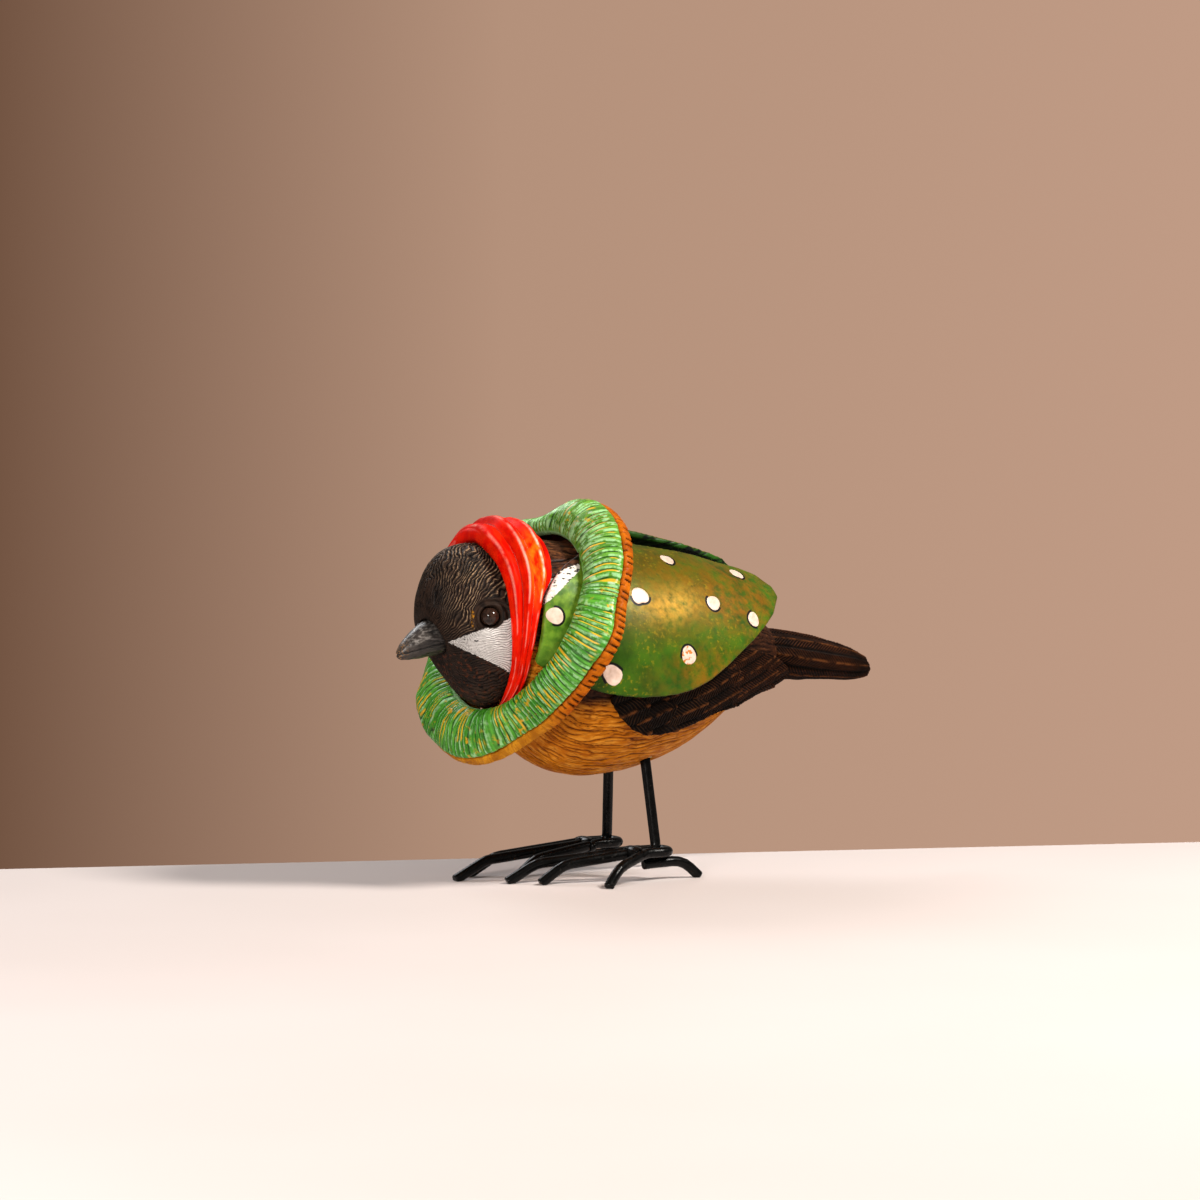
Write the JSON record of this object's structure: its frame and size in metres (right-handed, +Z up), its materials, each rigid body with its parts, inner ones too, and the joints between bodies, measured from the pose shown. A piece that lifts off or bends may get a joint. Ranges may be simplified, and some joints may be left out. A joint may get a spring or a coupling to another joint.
{
  "type": "bird figurine",
  "caption": "Painted cast-resin songbird in a headscarf, frilled collar and spotted cape, standing on bent-wire legs; a free-standing ornament.",
  "frame": {"origin": "on the ground, under the middle of the bounding box", "axes": "+X towards the beak, +Y to the bird's left, +Z up"},
  "size_m": [0.1486, 0.0738, 0.1008],
  "materials": {
    "breast_ochre": "hand-painted cast resin, satin",
    "cap_black": "carved and dry-brushed cast resin, satin",
    "beak_black": "gloss paint worn brown at the tip",
    "eye_gloss": "high gloss",
    "scarf_red": "satin paint on cast resin",
    "frill_green": "satin paint with mint and yellow dry brushing",
    "cape_green": "satin paint with white spots",
    "feather_brown": "carved cast resin, satin",
    "black_enamel": "gloss enamel on steel wire",
    "bare_steel": "bare",
    "clear_epoxy": "clear glue"
  },
  "bodies": {
    "root": {"torso_casting": "breast_ochre", "head_casting": "cap_black", "beak": "beak_black", "left_eye": "eye_gloss", "right_eye": "eye_gloss", "neck_dowel": "bare_steel", "headscarf": "scarf_red", "collar_ruff": "frill_green", "collar_backing": "breast_ochre", "left_cape_cover": "cape_green", "right_cape_cover": "cape_green", "left_wing": "feather_brown", "right_wing": "feather_brown", "tail": "feather_brown", "tail_pin": "bare_steel", "left_leg_wire": "black_enamel", "right_leg_wire": "black_enamel", "left_toe_hairpin": "black_enamel", "right_toe_hairpin": "black_enamel", "left_hind_toe": "black_enamel", "right_hind_toe": "black_enamel", "left_foot_weld": "black_enamel", "right_foot_weld": "black_enamel", "left_leg_epoxy": "clear_epoxy", "right_leg_epoxy": "clear_epoxy"}
  },
  "joints": []
}
